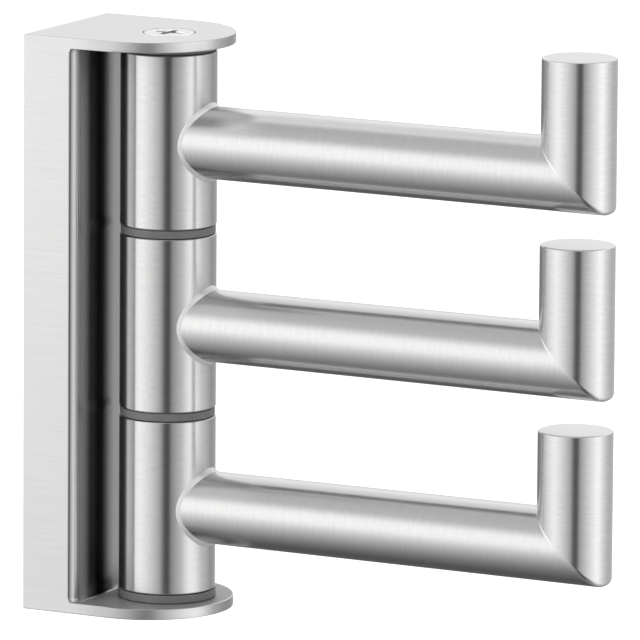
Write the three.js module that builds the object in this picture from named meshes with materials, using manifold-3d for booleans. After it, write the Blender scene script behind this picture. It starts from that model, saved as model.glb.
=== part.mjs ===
import * as THREE from 'three';
import { mergeVertices } from 'three/addons/utils/BufferGeometryUtils.js';
import Module from 'manifold-3d';

// Swivel towel hook: a wall bracket that holds three hooks on one upright axle.
// Millimetres, +Z up. The wall is the plane y = 0 and the hooks point along -Y.
// The origin is the middle of the face that lies on the wall.

const wasm = await Module();
wasm.setup();

// Bracket: one piece, a back block with two thin plates that end half round
const bracketWidth = 28;
const plateReach = 30.15;
const plateThickness = 1.8;
const blockDepth = 9.65;
const blockEdgeRadius = 2;
const blockEdgeCut = 0.12;
const windowCornerRadius = 0.5;

// Axle, and the countersunk screws that hold it between the plates
const axleReach = 19.5;
const axleDiameter = 9;
const threadHoleDepth = 14;
const screwHeadDiameter = 8.3;
const screwHeadLand = 0.2;
const screwDiameter = 4;
const screwLength = 12;
const screwTip = 0.5;
const recessSpan = 5.3;
const recessSlot = 1.1;
const recessDepth = 1.6;

// Hooks: a hub on the axle, a round bar out from it, and the same bar turned up
const hubDiameter = 16;
const hubLength = 29;
const hubEdge = 0.3;
const barDiameter = 12;
const armReach = 75.3;
const armDrop = 0.4;
const pegRise = 19.25;
const pegEdge = 0.3;
const weldLeg = 1;
const weldRoot = 1;
const cornerBreak = 0.5;

// Bearing sleeve in each hub, and the washers between and round the hubs
const sleeveWall = 1;
const sleeveInset = 0.3;
const washerDiameter = 15.7;
const topWasherThickness = 0.85;
const middleWasherThickness = 1.3;
const bottomWasherThickness = 1.3;
const bottomWasherDiameter = 16.2;

// Wall plate in the bracket's back, with the grub screw that locks the bracket on it
const wallPlateWidth = 21;
const wallPlateMargin = 9.1;
const wallPlateThickness = 5;
const wallPlateUndercut = 1.5;
const wallHoleDiameter = 4.5;
const wallHoleHeadDiameter = 9;
const wallHoleSpacing = 50;
const grubDiameter = 4;
const grubLength = 6;
const grubTip = 0.8;
const grubSocketWidth = 2;
const grubSocketDepth = 2;

// Clearances
const runningClearance = 0.1;
const faceClearance = 0.1;
const seatGap = 0.3;
const pressGap = 0.1;
const overrun = 1;

// Facets round a full circle
const roundSteps = 48;

// Sizes worked out from the ones above
const bracketRadius = bracketWidth / 2;
const axleRadius = axleDiameter / 2;
const screwRadius = screwDiameter / 2;
const screwHeadRadius = screwHeadDiameter / 2;
const threadHoleRadius = screwRadius + seatGap;
const hubRadius = hubDiameter / 2;
const barRadius = barDiameter / 2;
const sleeveBore = axleRadius + runningClearance;
const sleeveRadius = sleeveBore + sleeveWall;
const hubBore = sleeveRadius + pressGap;
const topSpace = topWasherThickness + faceClearance * 2;
const middleSpace = middleWasherThickness + faceClearance * 2;
const bottomSpace = bottomWasherThickness + faceClearance * 2;
const innerHeight = hubLength * 3 + topSpace + middleSpace * 2 + bottomSpace;
const bracketHeight = innerHeight + plateThickness * 2;
const wallPlateHeight = bracketHeight - wallPlateMargin * 2;
const plateMouthRadius = screwHeadRadius + seatGap - (plateThickness - screwHeadLand);
const pocketDepth = wallPlateThickness + seatGap;
const grubHoleRadius = grubDiameter / 2 + seatGap;

// Solids

function toSolid(geometry) {
  const bare = geometry.clone();
  bare.deleteAttribute('normal');
  bare.deleteAttribute('uv');
  const merged = mergeVertices(bare);
  const corners = merged.index.array;
  const triangles = [];
  for (let i = 0; i < corners.length; i += 3) {
    const [a, b, c] = corners.slice(i, i + 3);
    if (a !== b && b !== c && c !== a) triangles.push(a, b, c);
  }
  return new wasm.Manifold(new wasm.Mesh({
    numProp: 3,
    vertProperties: new Float32Array(merged.attributes.position.array),
    triVerts: new Uint32Array(triangles),
  }));
}

function toGeometry(solid) {
  const mesh = solid.getMesh();
  const geometry = new THREE.BufferGeometry();
  geometry.setAttribute('position', new THREE.BufferAttribute(mesh.vertProperties, 3));
  geometry.setIndex(new THREE.BufferAttribute(mesh.triVerts, 1));
  geometry.computeVertexNormals();
  return geometry;
}

// A solid turned about Z from corners [radius, height], listed anticlockwise
function turned(corners) {
  const points = corners.map(([radius, height]) => new THREE.Vector2(radius, height));
  return toSolid(new THREE.LatheGeometry(points, roundSteps).rotateX(Math.PI / 2));
}

function ring(innerRadius, outerRadius, length, edge = 0) {
  const half = length / 2;
  return turned([
    [innerRadius, -half],
    [outerRadius - edge, -half],
    [outerRadius, -half + edge],
    [outerRadius, half - edge],
    [outerRadius - edge, half],
    [innerRadius, half],
    [innerRadius, -half],
  ]);
}

function rod(radius, low, high) {
  return turned([[0, low], [radius, low], [radius, high], [0, high]]);
}

// A side view in Y and Z, drawn as x and y of a shape, made into a solid across X
function sideways(shape, width) {
  const geometry = new THREE.ExtrudeGeometry(shape, { depth: width, bevelEnabled: false, curveSegments: 6 });
  geometry.translate(0, 0, -width / 2);
  geometry.applyMatrix4(new THREE.Matrix4().makeBasis(
    new THREE.Vector3(0, 1, 0),
    new THREE.Vector3(0, 0, 1),
    new THREE.Vector3(1, 0, 0),
  ));
  return toSolid(geometry);
}

// Bracket

function bracketBody() {
  const straight = plateReach - bracketRadius;
  const plan = new THREE.Shape();
  plan.moveTo(-bracketRadius, 0);
  plan.lineTo(-bracketRadius, -straight);
  plan.absarc(0, -straight, bracketRadius, Math.PI, Math.PI * 2, false);
  plan.lineTo(bracketRadius, 0);
  plan.closePath();
  const settings = { depth: bracketHeight, bevelEnabled: false, curveSegments: roundSteps / 2 };
  return toSolid(new THREE.ExtrudeGeometry(plan, settings).translate(0, 0, -bracketHeight / 2));
}

// The space for the hubs, in front of the block and between the plates
function bracketWindow() {
  const half = innerHeight / 2;
  const back = -blockDepth;
  const front = -plateReach - overrun;
  const round = windowCornerRadius;
  const side = new THREE.Shape();
  side.moveTo(front, -half);
  side.lineTo(back - round, -half);
  side.absarc(back - round, -half + round, round, -Math.PI / 2, 0, false);
  side.lineTo(back, half - round);
  side.absarc(back - round, half - round, round, 0, Math.PI / 2, false);
  side.lineTo(front, half);
  side.closePath();
  return sideways(side, bracketWidth + overrun * 2);
}

// What the rounding takes off the block's front edge on the +X side, ground a little flat at the side
function blockEdge() {
  const size = blockEdgeRadius + overrun;
  const middleX = bracketRadius - blockEdgeRadius + blockEdgeCut;
  const middleY = blockEdgeRadius - blockDepth;
  const corner = toSolid(new THREE.BoxGeometry(size, size, innerHeight));
  const round = rod(blockEdgeRadius, -innerHeight, innerHeight).translate(middleX, middleY, 0);
  return corner.translate(middleX + size / 2, middleY - size / 2, 0).subtract(round);
}

// The pocket is taller than the wall plate, so that the bracket can be lifted on and off
function bracketPocket() {
  const low = -wallPlateHeight / 2 - wallPlateUndercut - seatGap;
  const high = wallPlateHeight / 2 + seatGap;
  const slope = wallPlateUndercut / wallPlateThickness;
  const side = new THREE.Shape();
  side.moveTo(-pocketDepth, low);
  side.lineTo(overrun, low);
  side.lineTo(overrun, high - (pocketDepth + overrun) * slope);
  side.lineTo(-pocketDepth, high);
  side.closePath();
  return sideways(side, wallPlateWidth + seatGap * 2);
}

// The countersunk hole in a plate, with its outer face at z = 0
function screwHole() {
  const wide = screwHeadRadius + seatGap;
  return turned([
    [0, -plateThickness - overrun],
    [plateMouthRadius - overrun, -plateThickness - overrun],
    [wide, -screwHeadLand],
    [wide, overrun],
    [0, overrun],
  ]);
}

function grubHole() {
  const bottom = -bracketHeight / 2;
  const middle = -wallPlateThickness / 2 - seatGap;
  return rod(grubHoleRadius, bottom - overrun, -wallPlateHeight / 2).translate(0, middle, 0);
}

function bracket() {
  const top = screwHole().translate(0, -axleReach, bracketHeight / 2);
  const bottom = screwHole().rotate(180, 0, 0).translate(0, -axleReach, -bracketHeight / 2);
  return bracketBody()
    .subtract(bracketWindow())
    .subtract(blockEdge())
    .subtract(blockEdge().mirror([1, 0, 0]))
    .subtract(bracketPocket())
    .subtract(top)
    .subtract(bottom)
    .subtract(grubHole());
}

// Wall plate: its top edge leans out over the wall, and the bracket's pocket hooks over it

function wallHole() {
  const hole = wallHoleDiameter / 2;
  const head = wallHoleHeadDiameter / 2;
  return turned([
    [0, -overrun],
    [hole, -overrun],
    [hole, wallPlateThickness - (head - hole)],
    [head + overrun, wallPlateThickness + overrun],
    [0, wallPlateThickness + overrun],
  ]).rotate(90, 0, 0);
}

function wallPlate() {
  const half = wallPlateHeight / 2;
  const side = new THREE.Shape();
  side.moveTo(-wallPlateThickness, -half);
  side.lineTo(0, -half);
  side.lineTo(0, half - wallPlateUndercut);
  side.lineTo(-wallPlateThickness, half);
  side.closePath();
  return sideways(side, wallPlateWidth)
    .subtract(wallHole().translate(0, 0, wallHoleSpacing / 2))
    .subtract(wallHole().translate(0, 0, -wallHoleSpacing / 2));
}

// Grub screw, with its tip up at z = 0
function grubScrew() {
  const radius = grubDiameter / 2;
  const socketRadius = grubSocketWidth / Math.sqrt(3);
  const socket = new THREE.CylinderGeometry(socketRadius, socketRadius, grubSocketDepth + overrun, 6);
  socket.rotateX(Math.PI / 2).translate(0, 0, -grubLength + (grubSocketDepth - overrun) / 2);
  return turned([
    [0, -grubLength],
    [radius, -grubLength],
    [radius, -grubTip],
    [radius - grubTip, 0],
    [0, 0],
  ]).subtract(toSolid(socket));
}

// Axle: seated between the plates, with a hole for a screw in each end
function axle() {
  const end = innerHeight / 2;
  const floor = end - threadHoleDepth;
  const mouth = plateMouthRadius - threadHoleRadius;
  return turned([
    [0, -floor],
    [threadHoleRadius, -floor],
    [threadHoleRadius, -end + mouth],
    [plateMouthRadius, -end],
    [axleRadius, -end],
    [axleRadius, end],
    [plateMouthRadius, end],
    [threadHoleRadius, end - mouth],
    [threadHoleRadius, floor],
    [0, floor],
  ]);
}

// Countersunk screw with a cross recess, with the top of its head at z = 0
function axleScrew() {
  const headDepth = screwHeadLand + screwHeadRadius - screwRadius;
  const cutHeight = recessDepth + overrun;
  const slot = new THREE.BoxGeometry(recessSpan, recessSlot, cutHeight);
  slot.translate(0, 0, (overrun - recessDepth) / 2);
  const across = toSolid(slot);
  return turned([
    [0, -screwLength],
    [screwRadius - screwTip, -screwLength],
    [screwRadius, -screwLength + screwTip],
    [screwRadius, -headDepth],
    [screwHeadRadius, -screwHeadLand],
    [screwHeadRadius, 0],
    [0, 0],
  ]).subtract(across).subtract(across.rotate(0, 0, 90));
}

// Arm and peg, with their origin where the arm's middle line meets the axle's

// A block that takes all beyond the mitre away, on the peg's side (1) or the arm's (-1)
function mitreBlock(side) {
  const size = (barDiameter + pegRise) * 2;
  const shift = side * (size - seatGap) / 2;
  const block = toSolid(new THREE.BoxGeometry(size, size, size));
  return block.translate(0, 0, shift).rotate(45, 0, 0).translate(0, -armReach, 0);
}

// The flat that takes the sharp point off the hook's outer corner
function cornerBlock() {
  const size = barDiameter;
  const out = barRadius * Math.SQRT2 - cornerBreak + size / 2;
  const block = toSolid(new THREE.BoxGeometry(size, size, size));
  return block.rotate(45, 0, 0).translate(0, -armReach - out * Math.SQRT1_2, -out * Math.SQRT1_2);
}

// The fillet weld: a band round the foot of the arm that follows the hub's curve
function weld() {
  const foot = (radius, angle) => {
    const x = radius * Math.cos(angle);
    return new THREE.Vector3(x, -Math.sqrt(hubRadius ** 2 - x ** 2), radius * Math.sin(angle));
  };
  const positions = [];
  const triangles = [];
  for (let step = 0; step < roundSteps; step += 1) {
    const angle = Math.PI * 2 * step / roundSteps;
    const outer = foot(barRadius + weldLeg, angle);
    const along = foot(barRadius, angle);
    along.y -= weldLeg;
    const within = foot(barRadius - weldRoot, angle);
    within.y -= weldLeg;
    const under = foot(barRadius - weldRoot, angle);
    for (const point of [outer, along, within, under]) positions.push(...point.toArray());
    const here = step * 4;
    const next = (step + 1) % roundSteps * 4;
    for (let k = 0; k < 4; k += 1) {
      const other = (k + 1) % 4;
      triangles.push(here + k, next + other, here + other);
      triangles.push(here + k, next + k, next + other);
    }
  }
  const band = new THREE.BufferGeometry();
  band.setAttribute('position', new THREE.BufferAttribute(new Float32Array(positions), 3));
  band.setIndex(triangles);
  return toSolid(band);
}

function arm() {
  const far = armReach + barRadius + overrun;
  const bar = rod(barRadius, 0, far).rotate(90, 0, 0);
  const hubSpace = rod(hubRadius + seatGap, -barDiameter, barDiameter);
  return bar.add(weld()).subtract(hubSpace).subtract(mitreBlock(1)).subtract(cornerBlock());
}

function peg() {
  const low = -barRadius - overrun;
  return turned([
    [0, low],
    [barRadius, low],
    [barRadius, pegRise - pegEdge],
    [barRadius - pegEdge, pegRise],
    [0, pegRise],
  ]).translate(0, -armReach, 0).subtract(mitreBlock(-1)).subtract(cornerBlock());
}

// Assembly

const brushedSteel = { color: 0xc8c7c5, roughness: 0.32, metalness: 1 };
const plainSteel = { color: 0xb4b4b2, roughness: 0.45, metalness: 1 };
const darkPlastic = { color: 0x5a5759, roughness: 0.6, metalness: 0 };
const whitePlastic = { color: 0xe6e4de, roughness: 0.5, metalness: 0 };

function place(parent, name, solid, finish, x = 0, y = 0, z = 0) {
  const mesh = new THREE.Mesh(toGeometry(solid), new THREE.MeshStandardMaterial(finish));
  mesh.name = name;
  mesh.position.set(x, y, z);
  parent.add(mesh);
  return mesh;
}

const hook = new THREE.Group();
place(hook, 'bracket', bracket(), brushedSteel);
place(hook, 'wall_plate', wallPlate(), plainSteel);
const grubHeight = -wallPlateHeight / 2 - seatGap;
place(hook, 'grub_screw', grubScrew(), plainSteel, 0, -wallPlateThickness / 2 - seatGap, grubHeight);

// Everything round the axle stands in a group on its middle line
const stack = new THREE.Group();
stack.position.y = -axleReach;
hook.add(stack);
place(stack, 'axle', axle(), plainSteel);
place(stack, 'axle_screw_top', axleScrew(), brushedSteel, 0, 0, bracketHeight / 2);
place(stack, 'axle_screw_bottom', axleScrew(), brushedSteel, 0, 0, -bracketHeight / 2).rotation.x = Math.PI;

function placeWasher(name, diameter, thickness, middle) {
  place(stack, name, ring(sleeveBore, diameter / 2, thickness), darkPlastic, 0, 0, middle);
}

let level = -innerHeight / 2;
placeWasher('washer_bottom', bottomWasherDiameter, bottomWasherThickness, level + bottomSpace / 2);
level += bottomSpace;
for (const name of ['lower', 'middle', 'upper']) {
  const swivel = new THREE.Group();
  swivel.position.z = level + hubLength / 2;
  stack.add(swivel);
  place(swivel, `${name}_hub`, ring(hubBore, hubRadius, hubLength, hubEdge), brushedSteel);
  place(swivel, `${name}_sleeve`, ring(sleeveBore, sleeveRadius, hubLength - sleeveInset * 2), whitePlastic);
  place(swivel, `${name}_arm`, arm(), brushedSteel, 0, 0, -armDrop);
  place(swivel, `${name}_peg`, peg(), brushedSteel, 0, 0, -armDrop);
  level += hubLength;
  if (name !== 'upper') {
    placeWasher(`washer_above_${name}`, washerDiameter, middleWasherThickness, level + middleSpace / 2);
    level += middleSpace;
  }
}
placeWasher('washer_top', washerDiameter, topWasherThickness, level + topSpace / 2);

export default hook;
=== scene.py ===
import math

import bmesh
import bpy
from mathutils import Matrix, Vector


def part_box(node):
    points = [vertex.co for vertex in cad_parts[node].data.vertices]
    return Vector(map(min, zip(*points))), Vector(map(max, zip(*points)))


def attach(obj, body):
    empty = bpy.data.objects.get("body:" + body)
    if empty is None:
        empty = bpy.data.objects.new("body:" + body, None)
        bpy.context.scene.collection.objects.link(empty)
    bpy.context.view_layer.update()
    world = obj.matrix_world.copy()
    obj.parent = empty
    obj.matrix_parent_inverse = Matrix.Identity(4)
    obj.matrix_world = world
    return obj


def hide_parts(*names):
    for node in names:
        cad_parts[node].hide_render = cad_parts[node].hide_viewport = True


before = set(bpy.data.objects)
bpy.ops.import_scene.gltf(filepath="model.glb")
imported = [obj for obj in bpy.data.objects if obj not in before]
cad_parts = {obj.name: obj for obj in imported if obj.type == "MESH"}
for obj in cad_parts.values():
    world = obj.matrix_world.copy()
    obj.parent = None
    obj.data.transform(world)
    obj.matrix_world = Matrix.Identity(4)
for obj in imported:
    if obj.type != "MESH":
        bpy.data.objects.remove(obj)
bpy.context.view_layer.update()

# Swivel towel hook: a wall bracket that holds three hooks on one upright axle.
# The frame is in metres, with the wall at y = 0 and the hooks along -Y.
# Pieces are modelled in millimetres and written out in metres.

MM = 0.001
NEAR = 0.001  # millimetres within which two places are the same
FLUSH = 0.001  # radians within which two faces are one plane

HOOKS = ("lower", "middle", "upper")
WASHERS = ("washer_bottom", "washer_above_lower", "washer_above_middle", "washer_top")


def limits(node):
    """A node's lowest and highest corner in millimetres."""
    low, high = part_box(node)
    return Vector(low) / MM, Vector(high) / MM


# Sizes taken from the frame

bracket_low, bracket_high = limits("bracket")
BRACKET_RADIUS = bracket_high.x
BRACKET_REACH = -bracket_low.y
BRACKET_TOP = bracket_high.z
axle_low, axle_high = limits("axle")
AXLE_REACH = -(axle_low.y + axle_high.y) / 2
PLATE_LEVEL = axle_high.z
HUB_RADIUS = limits("upper_hub")[1].x
BAR_RADIUS = limits("upper_peg")[1].x
ARM_REACH = -limits("upper_peg")[0].y - BAR_RADIUS - AXLE_REACH

# Sizes of details, in millimetres

BLOCK_DEPTH = 9.65
BLOCK_EDGE = 2
BLOCK_EDGE_CUT = 0.12
PLATE_EDGE = 0.18
WINDOW_CORNER_WIDTH = 0.3
WINDOW_CORNER_HEIGHT = 1
POCKET_HALF = 10.8
POCKET_DEPTH = 5.3
POCKET_LOW = -40.8
POCKET_HIGH = 37.71
POCKET_UNDERCUT = 1.59

WALL_PLATE_UNDERCUT = 1.5
WALL_PLATE_EDGE = 0.3
WALL_HOLE_HEIGHTS = (-25, 25)
WALL_HOLE_RADIUS = 2.25
WALL_HOLE_SINK = 4.5
WALL_HOLE_NECK = 0.1
WALL_HOLE_EDGE = 0.2

GRUB_REACH = 2.8
GRUB_HOLE_RADIUS = 2.3
GRUB_HOLE_EDGE = 0.25
GRUB_CONE_START = 0.8
GRUB_CONE_HEIGHT = 0.9
GRUB_EDGE = 0.3
GRUB_THREAD_DEPTH = 0.32
GRUB_PITCH = 0.7
GRUB_SOCKET = 2

SCREW_RADIUS = 4.15
SCREW_EDGE = 0.1
SCREW_LIP = 0.2
SCREW_SHANK = 2
SCREW_LENGTH = 12
SCREW_TIP = 0.5
SCREW_THREAD_DEPTH = 0.4
SCREW_PITCH = 0.8
SCREW_HOLE_RADIUS = 4.37
SCREW_HOLE_EDGE = 0.08
SCREW_HOLE_MOUTH = 2.85
CROSS_SPAN = 2.75
CROSS_HALF = 0.6
CROSS_ROOT = 0.84
CROSS_LEVELS = ((0.95, 0.1), (0.72, 1.2), (0.3, 1.7))  # share of the mouth's size, depth
THREAD_LAND = 0.08  # half the flat between two grooves, as a share of the pitch

HUB_BORE = 5.7
HUB_EDGE = 0.28
WASHER_BORE = 4.6
WASHER_EDGE = 0.12
WELD_RADIUS = 0.65
WELD_BULGE = 0.15
WELD_SINK = 0.05
WELD_OVERLAP = 0.15
BEND_OUTSIDE = 0.7
BEND_INSIDE = 0.15
PEG_RISE = 19.25
PEG_EDGE = 0.3

# Sides of a circle and steps of a rounding

ROUND = 96
GRUB_ROUND = 48
HOLE_ROUND = 64
EDGE_STEPS = 3
BLOCK_EDGE_STEPS = 8
WINDOW_CORNER_STEPS = 5
WELD_STEPS = 6
BEND_STEPS = 10
PEG_EDGE_STEPS = 4

# Angles in degrees from which an edge is rounded, and from which it is shaded as a crease

SHARP = 35
CREASE = 38

# Camera and floor, in metres and degrees

CAMERA_TURN = math.radians(-62.194)
CAMERA_RISE = math.radians(10.023)
CAMERA_ROLL = math.radians(0.399)
CAMERA_LENS = 562.5
CAMERA_SENSOR = 36
CAMERA_CLIP = (0.1, 50)
CAMERA_DISTANCE = 1.64166
CAMERA_AIM = Vector((0, -0.04, 0))
CAMERA_ASIDE = 0.006984
CAMERA_ABOVE = 0.001796
FLOOR_SIZE = 8
FLOOR_LEVEL = -0.55

back = Vector((
    math.sin(CAMERA_TURN) * math.cos(CAMERA_RISE),
    -math.cos(CAMERA_TURN) * math.cos(CAMERA_RISE),
    math.sin(CAMERA_RISE),
))
level_right = Vector((math.cos(CAMERA_TURN), math.sin(CAMERA_TURN), 0))
level_up = back.cross(level_right)


def place_camera():
    right = level_right * math.cos(CAMERA_ROLL) + level_up * math.sin(CAMERA_ROLL)
    up = level_up * math.cos(CAMERA_ROLL) - level_right * math.sin(CAMERA_ROLL)
    camera = bpy.data.objects.new("camera", bpy.data.cameras.new("camera"))
    bpy.context.scene.collection.objects.link(camera)
    camera.data.sensor_width = CAMERA_SENSOR
    camera.data.lens = CAMERA_LENS
    camera.data.clip_start, camera.data.clip_end = CAMERA_CLIP
    turn = Matrix((right, up, back)).transposed().to_4x4()
    aim = CAMERA_AIM + right * CAMERA_ASIDE + up * CAMERA_ABOVE
    camera.matrix_world = Matrix.Translation(aim + back * CAMERA_DISTANCE) @ turn
    bpy.context.scene.camera = camera


# Node trees

class Value:
    """A number or vector in a node tree. Sums on it add Math nodes."""

    def __init__(self, nodes, socket):
        self.nodes = nodes
        self.socket = socket

    def __add__(self, other):
        return self.nodes.math("ADD", self, other)

    def __radd__(self, other):
        return self.nodes.math("ADD", other, self)

    def __sub__(self, other):
        return self.nodes.math("SUBTRACT", self, other)

    def __rsub__(self, other):
        return self.nodes.math("SUBTRACT", other, self)

    def __mul__(self, other):
        return self.nodes.math("MULTIPLY", self, other)

    def __rmul__(self, other):
        return self.nodes.math("MULTIPLY", other, self)

    def __truediv__(self, other):
        return self.nodes.math("DIVIDE", self, other)

    def __rtruediv__(self, other):
        return self.nodes.math("DIVIDE", other, self)

    def __pow__(self, other):
        return self.nodes.math("POWER", self, other)

    def __rpow__(self, other):
        return self.nodes.math("POWER", other, self)

    def __neg__(self):
        return self.nodes.math("MULTIPLY", self, -1)

    def __abs__(self):
        return self.nodes.math("ABSOLUTE", self)

    def above(self, floor):
        return self.nodes.math("MAXIMUM", self, floor)

    def rise(self, start, end):
        """0 up to start and 1 from end on, with a smooth change between."""
        return self.nodes.add("ShaderNodeMapRange", {"interpolation_type": "SMOOTHSTEP"}, {
            "Value": self, "From Min": start, "From Max": end,
        })["Result"]


class Nodes:
    """The node tree of a material or world, filled from empty."""

    def __init__(self, owner):
        owner.use_nodes = True
        self.tree = owner.node_tree
        self.tree.nodes.clear()

    def add(self, kind, settings=None, sockets=None):
        """Makes a node: first its settings, then the values or links of its sockets."""
        node = self.tree.nodes.new(kind)
        for name, value in (settings or {}).items():
            setattr(node, name, value)
        inputs = {socket.identifier: socket for socket in node.inputs}
        for name, value in (sockets or {}).items():
            if isinstance(value, Value):
                self.tree.links.new(value.socket, inputs[name])
            else:
                inputs[name].default_value = value
        return {socket.identifier: Value(self, socket) for socket in node.outputs}

    def math(self, operation, *terms):
        sockets = dict(zip(("Value", "Value_001"), terms))
        return self.add("ShaderNodeMath", {"operation": operation}, sockets)["Value"]

    def parts(self, vector):
        """The x, y and z of a vector."""
        return list(self.add("ShaderNodeSeparateXYZ", sockets={"Vector": vector}).values())

    def place(self):
        """The x, y and z of the object coordinates, in metres."""
        return self.parts(self.add("ShaderNodeTexCoord")["Object"])

    def facing_up(self):
        """1 on a face that looks straight up, 0 on an upright one, -1 on one that looks down."""
        return self.parts(self.add("ShaderNodeNewGeometry")["Normal"])[2]

    def mix(self, share, first, second):
        """A colour between two others."""
        return self.add("ShaderNodeMix", {"data_type": "RGBA"}, {
            "Factor_Float": share, "A_Color": first, "B_Color": second,
        })["Result_Color"]

    def grain(self, scale, size, detail, roughness=0.5):
        """Noise between 0 and 1 in object coordinates, scaled along each axis."""
        place = self.add("ShaderNodeTexCoord")["Object"]
        place = self.add("ShaderNodeMapping", sockets={"Vector": place, "Scale": scale})["Vector"]
        return self.add("ShaderNodeTexNoise", sockets={
            "Vector": place, "Scale": size, "Detail": detail, "Roughness": roughness,
        })["Fac"]

    def cloud(self, size, detail):
        """Noise that is the same along each axis."""
        return self.grain((1, 1, 1), size, detail)


def grey(level, warmth=0.0):
    return (level * (1 + warmth), level, level * (1 - warmth), 1)


# Light and floor

def studio_world():
    """A soft white room: a bright wall on the left and on the right, dark where the camera stands.
    A direction is given by its turn and height in degrees. The turn is 0 toward the camera and
    grows to the right of the picture."""
    world = bpy.data.worlds.new("studio")
    bpy.context.scene.world = world
    nodes = Nodes(world)
    x, y, z = nodes.parts(nodes.add("ShaderNodeTexCoord")["Generated"])
    toward = back.to_2d().normalized()
    ahead = x * toward.x + y * toward.y
    aside = x * level_right.x + y * level_right.y
    turn = nodes.math("ARCTAN2", aside, ahead) * math.degrees(1)
    height = nodes.math("ARCSINE", z) * math.degrees(1)

    def wall(centre, reach, peak, falloff):
        """Brightest at its centre, fading out about its reach."""
        return (peak - (abs(turn - centre) / reach) ** falloff).above(0)

    left = wall(centre=-70, reach=78, peak=1, falloff=1.3)
    right = wall(centre=71, reach=83, peak=0.97, falloff=1.4)
    wall_light = 1.2
    camera_gap = turn.rise(-17, -5) * (1 - turn.rise(5, 10)) * (1 - height.rise(30, 50))
    wall_fade = 38 + 30 * turn.rise(0, 60)
    wall_foot = nodes.math("EXPONENT", -(((-1 - height).above(0) / wall_fade) ** 1.2)).above(0.17)
    wall_head = 1 - 0.56 * height.rise(16, 44)
    walls = nodes.math("MAXIMUM", left, right) * wall_light
    walls = walls * (1 - 0.7 * camera_gap) * wall_foot * wall_head

    behind = abs(turn).rise(95, 135)
    low_part = 0.15 + 0.27 * turn.rise(-30, 30)
    high_part = 0.85 - low_part
    backdrop = low_part + high_part * height.rise(-6, 20) - 0.15 * height.rise(24, 50)
    backdrop_foot = nodes.math("EXPONENT", -((-10 - height).above(0) / 70))
    room = nodes.math("MAXIMUM", walls, backdrop * behind * backdrop_foot)

    ceiling = height.rise(52, 78)
    ceiling_light = 0.66 + 0.22 * behind
    ground = (-height).rise(57, 82)
    ground_light = 0.26
    room_light = 1.4
    room = room * (1 - ceiling - ground) + ceiling_light * ceiling + ground_light * ground

    seen = nodes.add("ShaderNodeLightPath")["Is Camera Ray"]
    lit = nodes.add("ShaderNodeBackground", sockets={
        "Color": room * room_light, "Strength": 1,
    })["Background"]
    white = nodes.add("ShaderNodeBackground", sockets={"Color": grey(1), "Strength": 1})["Background"]
    both = nodes.add("ShaderNodeMixShader", sockets={"Fac": seen, "Shader": lit, "Shader_001": white})
    nodes.add("ShaderNodeOutputWorld", sockets={"Surface": both["Shader"]})


def soft_lamp(name, turn, rise, strength):
    """A wide soft light for what isn't metal; the metal shows the room alone."""
    lamp = bpy.data.objects.new(name, bpy.data.lights.new(name, "SUN"))
    bpy.context.scene.collection.objects.link(lamp)
    lamp.data.energy = strength
    lamp.data.angle = math.radians(50)
    turn, rise = math.radians(turn), math.radians(rise)
    toward = Vector((
        math.sin(turn) * math.cos(rise),
        -math.cos(turn) * math.cos(rise),
        math.sin(rise),
    ))
    lamp.rotation_euler = toward.to_track_quat("Z", "Y").to_euler()
    lamp.visible_glossy = False


def pale_floor():
    """White to the camera, with soft shadows; clear from below."""
    mesh = bpy.data.meshes.new("floor")
    bm = bmesh.new()
    bmesh.ops.create_grid(bm, x_segments=1, y_segments=1, size=FLOOR_SIZE)
    bmesh.ops.translate(bm, vec=(0, 0, FLOOR_LEVEL), verts=bm.verts)
    bm.to_mesh(mesh)
    bm.free()
    floor = bpy.data.objects.new("floor", mesh)
    bpy.context.scene.collection.objects.link(floor)
    floor.visible_glossy = False
    material = bpy.data.materials.new("floor_white")
    nodes = Nodes(material)
    seen = nodes.add("ShaderNodeLightPath")["Is Camera Ray"]
    under = nodes.add("ShaderNodeNewGeometry")["Backfacing"]
    plain = nodes.add("ShaderNodeBsdfDiffuse", sockets={"Color": grey(0.35)})["BSDF"]
    glow = nodes.add("ShaderNodeEmission", sockets={
        "Color": grey(1), "Strength": 0.8 * seen,
    })["Emission"]
    clear = nodes.add("ShaderNodeBsdfTransparent")["BSDF"]
    both = nodes.add("ShaderNodeAddShader", sockets={"Shader": plain, "Shader_001": glow})["Shader"]
    both = nodes.add("ShaderNodeMixShader", sockets={"Fac": under, "Shader": both, "Shader_001": clear})
    nodes.add("ShaderNodeOutputMaterial", sockets={"Surface": both["Shader"]})
    mesh.materials.append(material)


# Finishes

def finish(name, nodes_for):
    """A material whose sockets, height and depth in metres come from nodes_for."""
    material = bpy.data.materials.new(name)
    nodes = Nodes(material)
    sockets, height, depth = nodes_for(nodes)
    sockets["Normal"] = nodes.add("ShaderNodeBump", sockets={
        "Strength": 0.5, "Distance": depth, "Height": height,
    })["Normal"]
    surface = nodes.add("ShaderNodeBsdfPrincipled", sockets=sockets)["BSDF"]
    nodes.add("ShaderNodeOutputMaterial", sockets={"Surface": surface})
    return material


# Painted shade tied to a place on the part, for shade and reflections too close or too blurred
# for the room. Each gives back the colour and how metallic it is. Places are in millimetres.

def recess_painted_shade(nodes, colour):
    """Painted shade on the block's front face, which the hubs shut off, and on the rounded edges at its
    sides.
    """
    x, y, _ = nodes.place()
    aside, depth = abs(x) / MM, -y / MM
    front = depth.rise(BLOCK_DEPTH - 0.2, BLOCK_DEPTH - 0.1)
    # painted shade behind the hubs: a lighter middle strip and a darker band off it
    middle = 0.41 - 0.06 * aside.rise(1.4, 2.4)
    band = 0.65 * aside.rise(2.4, 4.6)
    shade_behind_hubs = (middle + band) * (1 - aside.rise(5.6, 8.6)) * front
    # painted shade on the rounded edges at the sides of the front
    edge = aside.rise(11.6, 12.4) * (0.5 - 0.4 * aside.rise(13.1, 13.5))
    return nodes.mix(shade_behind_hubs + edge, colour, grey(0.01)), 1 - 0.3 * aside.rise(8.3, 10.8) * front


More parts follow.
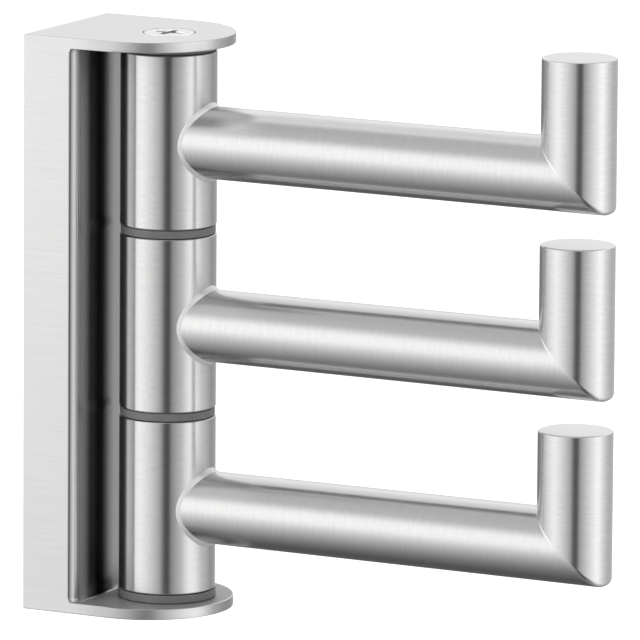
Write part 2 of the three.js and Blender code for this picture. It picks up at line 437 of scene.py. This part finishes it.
def outer_painted_shade(nodes, colour):
    """Painted shade: slightly darker toward the bottom, and darker along the plates' rims at their
    front and sides.
    """
    x, y, z = nodes.place()
    aside, depth, level = abs(x) / MM, -y / MM, abs(z) / MM
    upright = 1 - abs(nodes.facing_up()).rise(0.3, 0.7)
    # painted shade on the front and sides of the plates' rims
    front = 0.42 * (1 - aside.rise(2, 7)) * depth.rise(22, 28)
    side = 0.2 * aside.rise(11.5, 13.3) * depth.rise(8, 17)
    rim = (front + side) * upright * level.rise(PLATE_LEVEL - 0.4, PLATE_LEVEL)
    # painted shade, darker toward the bottom
    lower = 0.09 * (1 - (z / MM).rise(-60, 50))
    return nodes.mix(rim + lower, colour, grey(0)), 0.95


def hub_painted_shade(nodes, colour):
    """Painted shade on the hub's front, where it faces its own arm and peg, standing in for their dim
    reflection, and on each flank.
    """
    x, y, _ = nodes.place()
    around = abs(nodes.math("ARCTAN2", x, -y - AXLE_REACH * MM)) * math.degrees(1)
    # painted shade in line with the arm, and a lighter painted shade on each flank
    front = 0.35 * (1 - around.rise(14, 32))
    flank = 0.22 * around.rise(33, 47) * (1 - around.rise(60, 66))
    return nodes.mix(front + flank, colour, grey(0)), 0.95


def arm_painted_shade(nodes, colour):
    """Duller steel on top of the arms beside the weld, and painted shade there on the upper arm, under
    the plate.
    """
    _, y, z = nodes.place()
    depth, upper_arm = -y / MM, (z / MM).rise(18, 22)
    upward = nodes.facing_up()
    # painted shade on the upper arm's top and flanks beside the weld, under the plate
    crest = 0.1 * upward.rise(0.5, 0.8) + 0.5 * upward.rise(0.93, 0.985)
    flank = 0.38 * upward.rise(0.44, 0.62) * (1 - upward.rise(0.68, 0.86))
    shade_under_plate = (crest + flank) * upper_arm * (1 - depth.rise(29.5, 35))
    duller = (0.2 + 0.4 * upper_arm) * upward.rise(0.25, 0.7) * (1 - depth.rise(32, 41))
    return nodes.mix(shade_under_plate, colour, grey(0)), 1 - duller


def weld_painted_shade(nodes, colour):
    """Painted shade on top of the bead, where it faces the hub."""
    # painted shade on the bead's top
    return nodes.mix(0.33 * nodes.facing_up().rise(0.45, 0.75), colour, grey(0)), 0.45


def brushed(level, roughness, lines_round="upright", stretched=0.0, painted_shade=None, solid=1.0,
            contrast=0.045, stroke=0.09):
    """Satin steel with fine hairlines round an upright bar, or round a bar along Y. On flat tops
    they run along Y."""
    across, along = 6.0, stroke
    sides = {"upright": (along, along, across), "bar": (along, across, along)}[lines_round]
    tops = (across, along, along)

    def nodes_for(nodes):
        upward = abs(nodes.facing_up()).rise(0.6, 0.8)

        def lines(size, detail):
            on_sides = nodes.grain(sides, size, detail, 0.6)
            on_tops = nodes.grain(tops, size, detail, 0.6)
            return on_sides * (1 - upward) + on_tops * upward

        fine = lines(1000, 3)
        broad = lines(250, 2)
        cloud = nodes.cloud(90, 2)
        shade = (fine * 0.75 + broad * 0.25).rise(0.25, 0.75)
        dark, bright = grey(level * (1 - contrast), 0.004), grey(level * (1 + contrast), 0.006)
        colour, metal = nodes.mix(shade, dark, bright), solid
        # painted shade tied to a place on the part, where one is given
        if painted_shade is not None:
            colour, metal = painted_shade(nodes, colour)
        rough = roughness + contrast * (fine - 0.5) + contrast * (broad - 0.5) + 0.03 * (cloud - 0.5)
        surface = {
            "Base Color": colour, "Metallic": metal, "Roughness": rough,
            "Anisotropic": stretched, "Anisotropic Rotation": 0.25,
        }
        return surface, fine * 0.6 + broad * 0.4, 0.00006 * contrast

    return nodes_for


def plated(level, roughness):
    """Plain zinc-plated steel: faint clouds and a fine grit."""
    def nodes_for(nodes):
        cloud = nodes.cloud(120, 3)
        grit = nodes.cloud(3000, 2)
        colour = nodes.mix(cloud.rise(0.3, 0.7), grey(level * 0.86, 0.02), grey(level, -0.01))
        rough = roughness + 0.16 * (cloud - 0.5) + 0.1 * (grit - 0.5)
        return {"Base Color": colour, "Metallic": 1, "Roughness": rough}, grit, 0.00001

    return nodes_for


def turned_steel(level, roughness):
    """Steel with fine rings round the axle's middle line, as the lathe leaves them."""
    def nodes_for(nodes):
        x, y, z = nodes.place()
        out = nodes.math("SQRT", x ** 2 + (y + AXLE_REACH * MM) ** 2)
        place = nodes.add("ShaderNodeCombineXYZ", sockets={"X": out * 9000, "Y": z * 2000, "Z": 0.0})
        rings = nodes.add("ShaderNodeTexNoise", sockets={
            "Vector": place["Vector"], "Scale": 1.0, "Detail": 2.0,
        })["Fac"]
        cloud = nodes.cloud(300, 2)
        colour = nodes.mix(rings.rise(0.3, 0.7), grey(level * 0.94), grey(level * 1.03))
        rough = roughness + 0.08 * (rings - 0.5) + 0.06 * (cloud - 0.5)
        return {"Base Color": colour, "Metallic": 1, "Roughness": rough}, rings, 0.000004

    return nodes_for


def moulded(level, roughness, warmth=0.0):
    """Matt plastic with a faint mottle and a fine tool grain."""
    def nodes_for(nodes):
        cloud = nodes.cloud(250, 3)
        grit = nodes.cloud(5000, 2)
        dark, bright = grey(level * 0.88, warmth), grey(level * 1.1, warmth)
        colour = nodes.mix(cloud.rise(0.25, 0.75), dark, bright)
        rough = roughness + 0.12 * (cloud - 0.5) + 0.1 * (grit - 0.5)
        return {"Base Color": colour, "Roughness": rough}, grit, 0.000012

    return nodes_for


# The block's front, the bracket's outside, the hubs, the arms and the welds carry painted shade tied to
# a place.
front_steel = finish("front_steel", brushed(
    level=0.67, roughness=0.25, stretched=0.9, painted_shade=recess_painted_shade, contrast=0.02, stroke=0.3))
bracket_steel = finish("bracket_steel", brushed(level=0.7, roughness=0.36, painted_shade=outer_painted_shade))
# painted shade: the plates' inner faces, between the plates, are much darker than the bracket's
# outside, and rougher
inner_plate_painted_shade = finish("inner_plate_painted_shade", brushed(level=0.36, roughness=0.5, solid=0.6))
hub_steel = finish("hub_steel", brushed(
    level=0.66, roughness=0.25, stretched=0.9, painted_shade=hub_painted_shade, contrast=0.05, stroke=0.5))
peg_steel = finish("peg_steel", brushed(
    level=0.66, roughness=0.25, stretched=0.9, solid=0.95, contrast=0.05, stroke=0.5))
peg_top_steel = finish("peg_top_steel", brushed(level=0.7, roughness=0.3))
arm_steel = finish("arm_steel", brushed(
    level=0.62, roughness=0.23, lines_round="bar", painted_shade=arm_painted_shade, contrast=0.04, stroke=0.6))
weld_steel = finish("weld_steel", brushed(
    level=0.94, roughness=0.3, lines_round="bar", painted_shade=weld_painted_shade, contrast=0.03))
screw_steel = finish("screw_steel", turned_steel(level=0.97, roughness=0.2))
# painted shade: the screws' cross recesses and the screw holes' walls are much darker than the heads
painted_shade_in_recesses = finish("painted_shade_in_recesses", turned_steel(level=0.3, roughness=0.45))
plain_steel = finish("plain_steel", plated(level=0.62, roughness=0.42))
washer_plastic = finish("washer_plastic", moulded(level=0.16, roughness=0.5))
sleeve_plastic = finish("sleeve_plastic", moulded(level=0.74, roughness=0.45, warmth=0.03))


# Mesh tools

def once(items):
    """Each item once, in the order given, so that every run makes the same mesh."""
    return list(dict.fromkeys(items))


def corners_of(edges):
    return once(vert for edge in edges for vert in edge.verts)


def verts_of(made):
    return [item for item in made if isinstance(item, bmesh.types.BMVert)]


def open_edges(bm):
    return [edge for edge in bm.edges if len(edge.link_faces) == 1]


def ring(bm, radius, place, steps=ROUND):
    """The edges of an open circle."""
    verts = bmesh.ops.create_circle(
        bm, cap_ends=False, radius=radius, segments=steps, matrix=place,
    )["verts"]
    return once(edge for vert in verts for edge in vert.link_edges)


def grow(bm, edges, place):
    """Extrudes an open rim and moves each new corner to place(corner)."""
    made = bmesh.ops.extrude_edge_only(bm, edges=edges)["geom"]
    for vert in verts_of(made):
        vert.co = place(vert)
    return [item for item in made if isinstance(item, bmesh.types.BMEdge)]


def scaled(scale, level):
    """Scales about the upright line at x = y = 0 and moves to a level: for use with grow."""
    return lambda vert: Vector((vert.co.x * scale, vert.co.y * scale, level))


def at_level(level):
    """Moves straight to a level: for use with grow."""
    return scaled(1, level)


def cap(bm, edges):
    bmesh.ops.contextual_create(bm, geom=edges)


def fill(bm, edges):
    """Closes the space between a rim and the holes in it."""
    bmesh.ops.triangle_fill(bm, use_beauty=True, use_dissolve=False, edges=edges)


def soften(bm, width, segments=EDGE_STEPS, where=lambda edge: True):
    """Rounds the sharp edges that where picks."""
    def sharp(edge):
        return len(edge.link_faces) == 2 and edge.calc_face_angle() > math.radians(SHARP)

    edges = [edge for edge in bm.edges if sharp(edge) and where(edge)]
    bmesh.ops.bevel(
        bm, geom=edges, affect="EDGES", offset=width, segments=segments, profile=0.5,
        material=-1, clamp_overlap=True,
    )


def spun(corners, closed=False, steps=ROUND):
    """An outline of [radius, height] corners, spun round the upright line at x = y = 0."""
    bm = bmesh.new()
    verts = [bm.verts.new((radius, 0, height)) for radius, height in corners]
    edges = [bm.edges.new(pair) for pair in zip(verts, verts[1:])]
    if closed:
        edges.append(bm.edges.new((verts[-1], verts[0])))
    bmesh.ops.spin(
        bm, geom=verts + edges, cent=(0, 0, 0), axis=(0, 0, 1), dvec=(0, 0, 0),
        angle=math.tau, steps=steps, use_merge=True,
    )
    bmesh.ops.remove_doubles(bm, verts=bm.verts, dist=NEAR / 2)
    bmesh.ops.recalc_face_normals(bm, faces=bm.faces)
    return bm


def threads(radius, depth, pitch, low, high):
    """The corners of an outline with ring grooves, from high to low."""
    corners = []
    for step in reversed(range(int((high - low) / pitch))):
        base = low + step * pitch
        corners += [
            (radius, base + pitch * (1 - THREAD_LAND)),
            (radius - depth, base + pitch / 2),
            (radius, base + pitch * THREAD_LAND),
        ]
    return corners


def flat(bm, axis, level, near=None):
    """The largest face that lies at a level of an axis, or the closest to near if that is given."""
    faces = [
        face for face in bm.faces
        if all(abs(getattr(vert.co, axis) - level) < NEAR for vert in face.verts)
    ]
    if near is None:
        return max(faces, key=lambda face: face.calc_area())
    return min(faces, key=lambda face: (face.calc_center_median() - Vector(near)).length)


def bore(bm, near, far, frames, rings):
    """Opens round holes from one flat face to another. Each frame has +Z out of the near face,
    and the rings are [radius, depth] from the near face to the far one."""
    holes = [
        [
            ring(bm, radius, place @ Matrix.Translation((0, 0, -depth)), HOLE_ROUND)
            for radius, depth in rings
        ]
        for place in frames
    ]
    for face, level in ((near, 0), (far, -1)):
        rim = list(face.edges)
        bmesh.ops.delete(bm, geom=[face], context="FACES_ONLY")
        mouths = [edge for hole in holes for edge in hole[level]]
        fill(bm, rim + mouths)
    for hole in holes:
        for first, second in zip(hole, hole[1:]):
            bmesh.ops.bridge_loops(bm, edges=first + second)


def shading(bm, parted=False):
    """Gives each face corner a normal weighted by area, so that a long face stays straight
    up to the rounded edge beside it. Parted, faces of two finishes meet in a crisp line."""
    layer = bm.loops.layers.float_vector.new("shading")
    bm.normal_update()
    areas = {face: face.calc_area() for face in bm.faces}
    crease = math.cos(math.radians(CREASE))
    for vert in bm.verts:
        faces = list(vert.link_faces)
        for loop in vert.link_loops:
            own = loop.face.normal
            total = Vector()
            for face in faces:
                joined = not parted or face.material_index == loop.face.material_index
                if joined and own.dot(face.normal) > crease:
                    total += face.normal * areas[face]
            loop[layer] = total.normalized() if total.length > 0 else own


def piece(bm, name, body, nodes, materials, place=Matrix()):
    """Writes a mesh out as a piece of the object."""
    if "shading" not in bm.loops.layers.float_vector:
        bmesh.ops.recalc_face_normals(bm, faces=bm.faces)
        shading(bm)
    bm.transform(Matrix.Scale(MM, 4) @ place)
    mesh = bpy.data.meshes.new(name)
    bm.to_mesh(mesh)
    bm.free()
    mesh.shade_smooth()
    turn = place.to_3x3()
    normals = [turn @ Vector(item.vector) for item in mesh.attributes["shading"].data]
    mesh.attributes.remove(mesh.attributes["shading"])
    mesh.normals_split_custom_set(normals)
    for material in materials:
        mesh.materials.append(material)
    made = bpy.data.objects.new(name, mesh)
    bpy.context.scene.collection.objects.link(made)
    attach(made, body)
    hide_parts(*nodes)


def end_of_bracket(y, side):
    """A frame on the bracket's top (side 1) or bottom (side -1), with +Z out of it."""
    turn = Matrix.Rotation(0 if side > 0 else math.pi, 4, "X")
    return Matrix.Translation((0, y, side * BRACKET_TOP)) @ turn


# Bracket

def ahead(vert):
    """Well in front of the bracket's back face."""
    return vert.co.y < -1


def bracket_foot():
    """The bottom plate, with the block's outline on its inner face. Also gives on_edge, which
    places the corners of the block's rounded edges."""
    bm = bmesh.new()
    share = bm.verts.layers.float.new("share")
    wide = BRACKET_RADIUS
    low = -BRACKET_TOP
    pivot_x = wide + BLOCK_EDGE_CUT - BLOCK_EDGE
    pivot_y = BLOCK_EDGE - BLOCK_DEPTH

    def on_edge(vert, radius, level):
        """A place on the block's rounded edge, from the side face (share 0) to the front (1)."""
        start = math.acos((wide - pivot_x) / radius)
        angle = start + (math.pi / 2 - start) * vert[share]
        x = pivot_x + radius * math.cos(angle)
        return Vector((math.copysign(x, vert.co.x), pivot_y - radius * math.sin(angle), level))

    spread = BLOCK_EDGE + WINDOW_CORNER_WIDTH
    sides = [(wide, 0), (-wide, 0), (-wide, pivot_y - spread), (wide, pivot_y - spread)]
    block = [bm.verts.new((x, y, low)) for x, y in sides]
    bm.faces.new(block)
    bmesh.ops.bevel(
        bm, geom=block[2:], affect="VERTICES", offset=1, segments=BLOCK_EDGE_STEPS, profile=0.5,
        material=-1,
    )
    front = [vert for vert in bm.verts if ahead(vert)]
    for side in (1, -1):
        arc = [vert for vert in front if vert.co.x * side > 0]
        for step, vert in enumerate(sorted(arc, key=lambda vert: -vert.co.y)):
            vert[share] = step / BLOCK_EDGE_STEPS
            vert.co = on_edge(vert, spread, low)
    crease = max(vert.co.y for vert in front)

    straight = BRACKET_REACH - wide
    nose = ring(bm, wide, Matrix.Translation((0, -straight, low)))
    behind = [vert for vert in corners_of(nose) if vert.co.y > NEAR - straight]
    bmesh.ops.delete(bm, geom=behind, context="VERTS")
    nose = [edge for edge in bm.edges if not edge.link_faces]
    ends = [vert for vert in corners_of(nose) if len(vert.link_edges) == 1]
    for vert in bmesh.ops.extrude_vert_indiv(bm, verts=ends)["verts"]:
        vert.co.y = crease
    bmesh.ops.remove_doubles(bm, verts=bm.verts, dist=NEAR)
    plate_rim = [edge for edge in bm.edges if all(vert.co.y < crease + NEAR for vert in edge.verts)]
    cap(bm, plate_rim)

    up = bmesh.ops.extrude_face_region(bm, geom=list(bm.faces))["geom"]
    bmesh.ops.translate(bm, vec=(0, 0, BRACKET_TOP - PLATE_LEVEL), verts=verts_of(up))
    return bm, on_edge


def bracket():
    """A block with a half-round plate at each end, made as a lower half and mirrored."""
    bm, on_edge = bracket_foot()
    root = flat(bm, "z", -PLATE_LEVEL, (0, 0, -PLATE_LEVEL))
    rim = list(root.edges)
    bmesh.ops.delete(bm, geom=[root], context="FACES_ONLY")
    for step in range(1, WINDOW_CORNER_STEPS + 1):
        angle = step / WINDOW_CORNER_STEPS * math.pi / 2
        radius = BLOCK_EDGE + WINDOW_CORNER_WIDTH * (1 - math.sin(angle))
        level = WINDOW_CORNER_HEIGHT * (1 - math.cos(angle)) - PLATE_LEVEL
        rim = grow(bm, rim, lambda vert: (
            on_edge(vert, radius, level) if ahead(vert) else at_level(level)(vert)
        ))
    grow(bm, rim, at_level(0))

    everything = bm.verts[:] + bm.edges[:] + bm.faces[:]
    bmesh.ops.mirror(bm, geom=everything, axis="Z", merge_dist=NEAR)
    bmesh.ops.remove_doubles(bm, verts=bm.verts, dist=NEAR)
    bmesh.ops.recalc_face_normals(bm, faces=bm.faces)
    seams = [
        edge for edge in bm.edges
        if edge.calc_face_angle() < FLUSH
        and min(abs(vert.co.z) for vert in edge.verts) < PLATE_LEVEL + NEAR
    ]
    middle = [edge for edge in bm.edges if all(abs(vert.co.z) < NEAR for vert in edge.verts)]
    bmesh.ops.dissolve_edges(bm, edges=once(seams + middle), use_verts=True)
    soften_plates(bm)
    open_pocket(bm)
    open_bracket_holes(bm)
    finishes = [bracket_steel, front_steel, inner_plate_painted_shade, painted_shade_in_recesses]
    share_out(bm, finishes)
    piece(bm, "bracket_body", "wall_bracket", ["bracket"], finishes)


def soften_plates(bm):
    """Rounds the bracket's ends all round, and the plates' inner edges in front of the block."""
    def at_end(edge):
        return any(abs(abs(vert.co.z) - BRACKET_TOP) < NEAR for vert in edge.verts)

    def on_rim(vert):
        block_front = -BLOCK_DEPTH - WINDOW_CORNER_WIDTH
        return abs(abs(vert.co.z) - PLATE_LEVEL) < NEAR and vert.co.y < block_front - NEAR

    soften(bm, PLATE_EDGE, where=at_end)
    soften(bm, PLATE_EDGE, where=lambda edge: all(on_rim(vert) for vert in edge.verts))


def open_pocket(bm):
    """The pocket in the back that hangs on the wall plate, undercut at its upper end."""
    face = flat(bm, "y", 0)
    rim = list(face.edges)
    bmesh.ops.delete(bm, geom=[face], context="FACES_ONLY")
    corners = [
        (-POCKET_HALF, POCKET_LOW), (POCKET_HALF, POCKET_LOW),
        (POCKET_HALF, POCKET_HIGH), (-POCKET_HALF, POCKET_HIGH),
    ]
    verts = [bm.verts.new((x, 0, z)) for x, z in corners]
    mouth = [bm.edges.new((verts[i - 1], vert)) for i, vert in enumerate(verts)]
    fill(bm, rim + mouth)

    def inward(vert):
        rise = POCKET_UNDERCUT if vert.co.z > 0 else 0
        return vert.co + Vector((0, -POCKET_DEPTH, rise))

    cap(bm, grow(bm, mouth, inward))


def open_bracket_holes(bm):
    """The screw holes on the axle's line and, from below, the grub screw's hole."""
    screw_rings = [
        (SCREW_HOLE_RADIUS + SCREW_HOLE_EDGE, 0),
        (SCREW_HOLE_RADIUS, SCREW_HOLE_EDGE),
        (SCREW_HOLE_RADIUS, SCREW_LIP),
        (SCREW_HOLE_MOUTH, BRACKET_TOP - PLATE_LEVEL),
    ]
    for side in (1, -1):
        near = flat(bm, "z", side * BRACKET_TOP, (0, -AXLE_REACH, side * BRACKET_TOP))
        far = flat(bm, "z", side * PLATE_LEVEL)
        bore(bm, near, far, [end_of_bracket(-AXLE_REACH, side)], screw_rings)
    grub_rings = [
        (GRUB_HOLE_RADIUS + GRUB_HOLE_EDGE, 0),
        (GRUB_HOLE_RADIUS, GRUB_HOLE_EDGE),
        (GRUB_HOLE_RADIUS, POCKET_LOW + BRACKET_TOP),
    ]
    near = flat(bm, "z", -BRACKET_TOP, (0, 0, -BRACKET_TOP))
    far = flat(bm, "z", POCKET_LOW)
    bore(bm, near, far, [end_of_bracket(-GRUB_REACH, -1)], grub_rings)


def share_out(bm, finishes):
    """Gives the screw holes, the plates' inner faces and the block's front their own finishes, each
    with painted shade.
    """
    for face in bm.faces:
        middle = face.calc_center_median()
        level_face = abs(face.normal.z) > 0.9
        inside = abs(middle.z) < PLATE_LEVEL + NEAR
        in_hole = math.hypot(middle.x, middle.y + AXLE_REACH) < SCREW_HOLE_RADIUS + 0.02
        # painted shade on the screw holes' walls
        if in_hole and not level_face:
            face.material_index = finishes.index(painted_shade_in_recesses)
        # painted shade on the plates' inner faces
        elif inside and level_face and middle.y < -BLOCK_DEPTH:
            face.material_index = finishes.index(inner_plate_painted_shade)
        elif inside and middle.y < BLOCK_EDGE - BLOCK_DEPTH and face.normal.y < -0.05:
            face.material_index = finishes.index(front_steel)


# Wall plate and grub screw

def wall_plate():
    low, high = limits("wall_plate")
    thick = -low.y
    bm = bmesh.new()
    side = [(-thick, low.z), (0, low.z), (0, high.z - WALL_PLATE_UNDERCUT), (-thick, high.z)]
    face = bm.faces.new([bm.verts.new((low.x, y, z)) for y, z in side])
    made = bmesh.ops.extrude_face_region(bm, geom=[face])["geom"]
    bmesh.ops.translate(bm, vec=(high.x - low.x, 0, 0), verts=verts_of(made))
    bmesh.ops.recalc_face_normals(bm, faces=bm.faces)
    soften(bm, WALL_PLATE_EDGE)
    frames = [
        Matrix.Translation((0, -thick, height)) @ Matrix.Rotation(math.pi / 2, 4, "X")
        for height in WALL_HOLE_HEIGHTS
    ]
    cone = WALL_HOLE_SINK - WALL_HOLE_RADIUS
    rings = [
        (WALL_HOLE_SINK, 0),
        (WALL_HOLE_RADIUS + WALL_HOLE_NECK, cone - WALL_HOLE_NECK),
        (WALL_HOLE_RADIUS, cone),
        (WALL_HOLE_RADIUS, thick - WALL_HOLE_EDGE),
        (WALL_HOLE_RADIUS + WALL_HOLE_EDGE, thick),
    ]
    bore(bm, flat(bm, "y", -thick), flat(bm, "y", 0), frames, rings)
    piece(bm, "wall_plate_body", "wall_bracket", ["wall_plate"], [plain_steel])


def grub_screw():
    """Coned at the top, with a six-sided socket underneath; the grooves are rings."""
    low, high = limits("grub_screw")
    radius = high.x
    length = high.z - low.z
    corners = [(0, 0), (radius - GRUB_CONE_START, 0)]
    corners += threads(
        radius, GRUB_THREAD_DEPTH, GRUB_PITCH, low=GRUB_EDGE - length, high=-GRUB_CONE_HEIGHT,
    )
    corners += [(radius - GRUB_EDGE, -length)]
    bm = spun(corners, steps=GRUB_ROUND)
    rim = open_edges(bm)
    corner_radius = GRUB_SOCKET / math.sqrt(3)
    socket = ring(bm, corner_radius, Matrix.Translation((0, 0, -length)), steps=6)
    fill(bm, rim + socket)
    cap(bm, grow(bm, socket, at_level(GRUB_SOCKET - length)))
    place = Matrix.Translation(((low.x + high.x) / 2, (low.y + high.y) / 2, high.z))
    piece(
        bm, "grub_screw_body", "wall_bracket", ["grub_screw"], [plain_steel], place,
    )


# Axle screws

def axle_screw(name, node, side):
    """Countersunk head with a cross recess; the grooves on the shank are rings."""
    head = SCREW_RADIUS
    cone = SCREW_LIP + head - SCREW_SHANK
    corners = [
        (head - SCREW_EDGE, 0),
        (head - 0.3 * SCREW_EDGE, -0.3 * SCREW_EDGE),
        (head, -SCREW_EDGE),
        (head, -SCREW_LIP),
        (SCREW_SHANK, -cone),
    ]
    corners += threads(
        SCREW_SHANK, SCREW_THREAD_DEPTH, SCREW_PITCH, low=SCREW_TIP - SCREW_LENGTH, high=-cone,
    )
    corners += [(SCREW_SHANK - SCREW_TIP, -SCREW_LENGTH), (0, -SCREW_LENGTH)]
    bm = spun(corners)
    rim = open_edges(bm)
    quarter = [(CROSS_SPAN, -CROSS_HALF), (CROSS_SPAN, CROSS_HALF), (CROSS_ROOT, CROSS_ROOT)]
    points = [
        Matrix.Rotation(turn * math.pi / 2, 2) @ Vector(point)
        for turn in range(4) for point in quarter
    ]
    verts = [bm.verts.new((point.x, point.y, 0)) for point in points]
    cross = [bm.edges.new((verts[i - 1], vert)) for i, vert in enumerate(verts)]
    fill(bm, rim + cross)
    for scale, depth in CROSS_LEVELS:
        cross = grow(bm, cross, scaled(scale, -depth))
    cap(bm, cross)
    finishes = [screw_steel, painted_shade_in_recesses]
    lip, floor = -CROSS_LEVELS[0][1], -CROSS_LEVELS[-1][1]
    # painted shade in the cross recess
    for face in bm.faces:
        middle = face.calc_center_median()
        if floor - NEAR < middle.z < lip and middle.xy.length < CROSS_SPAN:
            face.material_index = finishes.index(painted_shade_in_recesses)
    place = end_of_bracket(-AXLE_REACH, side)
    piece(bm, name, "wall_bracket", [node], finishes, place)


# Hubs and washers

def tube(name, node, body, material, bore_radius, edge):
    """A straight tube with rounded ends, as tall and wide as its node."""
    low, high = limits(node)
    radius = high.x
    outline = [(bore_radius, low.z), (radius, low.z), (radius, high.z), (bore_radius, high.z)]
    bm = spun(outline, closed=True)
    soften(bm, edge)
    piece(bm, name, body, [node], [material], Matrix.Translation((0, -AXLE_REACH, 0)))


# Arms and pegs

def hook_bar():
    """The arm and its peg as one bar, from the weld on the hub to the peg's top. The origin is
    where the arm's middle line meets the axle's. Gives the mesh and the faces of the weld."""
    bm = bmesh.new()
    level = bm.verts.layers.float.new("level")
    rim = ring(bm, BAR_RADIUS, Matrix.Rotation(math.pi / 2, 4, "X"))
    start = corners_of(rim)
    for vert in start:
        vert[level] = vert.co.z

    def on_hub(x, z, scale, sink):
        x, z = x * scale, z * scale
        return Vector((x, -math.sqrt((HUB_RADIUS - sink) ** 2 - x ** 2), z))

    def weld(share):
        """A low bead from its toe on the hub (0) to the bar (1)."""
        def at(vert):
            x, z = vert.co.x, vert[level]
            out = math.hypot(x, z)
            x, z = x / out * BAR_RADIUS, z / out * BAR_RADIUS
            facing = x * x / (HUB_RADIUS * BAR_RADIUS)
            leg = WELD_RADIUS * math.sqrt((1 - facing) / (1 + facing))
            toe = on_hub(x, z, 1 + leg / BAR_RADIUS, WELD_SINK)
            root = on_hub(x, z, 1, 0)
            bar = root - Vector((0, leg + WELD_OVERLAP, 0))
            crest = (toe + bar) * (1 + WELD_BULGE) / 2 - root * WELD_BULGE
            return toe * (1 - share) ** 2 + crest * 2 * share * (1 - share) + bar * share ** 2
        return at

    def bend(share):
        """From the arm (0) round the corner to the peg (1). The outside is rounder than the
        inside."""
        def at(vert):
            height = vert[level]
            outside = (1 - height / BAR_RADIUS) / 2
            radius = BEND_INSIDE + (BEND_OUTSIDE - BEND_INSIDE) * outside
            angle = share * math.pi / 2
            return Vector((
                vert.co.x,
                -ARM_REACH + height + radius * (1 - math.sin(angle)),
                height + radius * (1 - math.cos(angle)),
            ))
        return at

    for vert in start:
        vert.co = weld(0)(vert)
    for step in range(1, WELD_STEPS + 1):
        rim = grow(bm, rim, weld(step / WELD_STEPS))
    bead = list(bm.faces)
    for step in range(BEND_STEPS + 1):
        rim = grow(bm, rim, bend(step / BEND_STEPS))
    rim = grow(bm, rim, at_level(PEG_RISE))
    cap(bm, rim)
    bmesh.ops.recalc_face_normals(bm, faces=bm.faces)
    soften(bm, PEG_EDGE, PEG_EDGE_STEPS, where=lambda edge: all(
        vert.co.z > PEG_RISE - NEAR for vert in edge.verts
    ))
    return bm, bead


def hook_half(peg):
    """One side of the mitre, arm or peg, closed where the bar is cut."""
    bm, bead = hook_bar()
    for face in bead:
        face.material_index = 1
    shading(bm, parted=True)
    if peg:
        for face in bm.faces:
            high = face.calc_center_median().z > BAR_RADIUS * 2
            face.material_index = int(face.normal.z > 0.5 and high)
    waste = []
    for face in bm.faces:
        middle = face.calc_center_median()
        on_peg = middle.z > middle.y + ARM_REACH
        if on_peg != peg:
            waste.append(face)
    bmesh.ops.delete(bm, geom=waste, context="FACES")
    bmesh.ops.holes_fill(bm, edges=open_edges(bm), sides=0)
    return bm


def hook(name):
    high = limits(f"{name}_peg")[1]
    place = Matrix.Translation((0, -AXLE_REACH, high.z - PEG_RISE))
    body = f"{name}_hook"
    tube(f"{name}_hub_tube", f"{name}_hub", body, hub_steel, HUB_BORE, HUB_EDGE)
    for part, finishes in (("arm", [arm_steel, weld_steel]), ("peg", [peg_steel, peg_top_steel])):
        half = hook_half(peg=part == "peg")
        piece(half, f"{name}_hook_{part}", body, [f"{name}_{part}"], finishes, place)


def finish_solid(node, material):
    """A finish for a solid that is kept as it is."""
    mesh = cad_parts[node].data
    mesh.materials.clear()
    mesh.materials.append(material)


# Assembly

place_camera()
studio_world()
soft_lamp("lamp_left", turn=-105, rise=40, strength=1.3)
soft_lamp("lamp_right", turn=10, rise=35, strength=0.9)
pale_floor()

bracket()
wall_plate()
grub_screw()
axle_screw("axle_screw_top_head", "axle_screw_top", side=1)
axle_screw("axle_screw_bottom_head", "axle_screw_bottom", side=-1)
for washer in WASHERS:
    tube(
        f"{washer}_ring", washer, "wall_bracket", washer_plastic,
        WASHER_BORE, WASHER_EDGE,
    )
finish_solid("axle", plain_steel)
for hook_name in HOOKS:
    hook(hook_name)
    finish_solid(f"{hook_name}_sleeve", sleeve_plastic)

scene = bpy.context.scene
scene.view_settings.view_transform = "Standard"
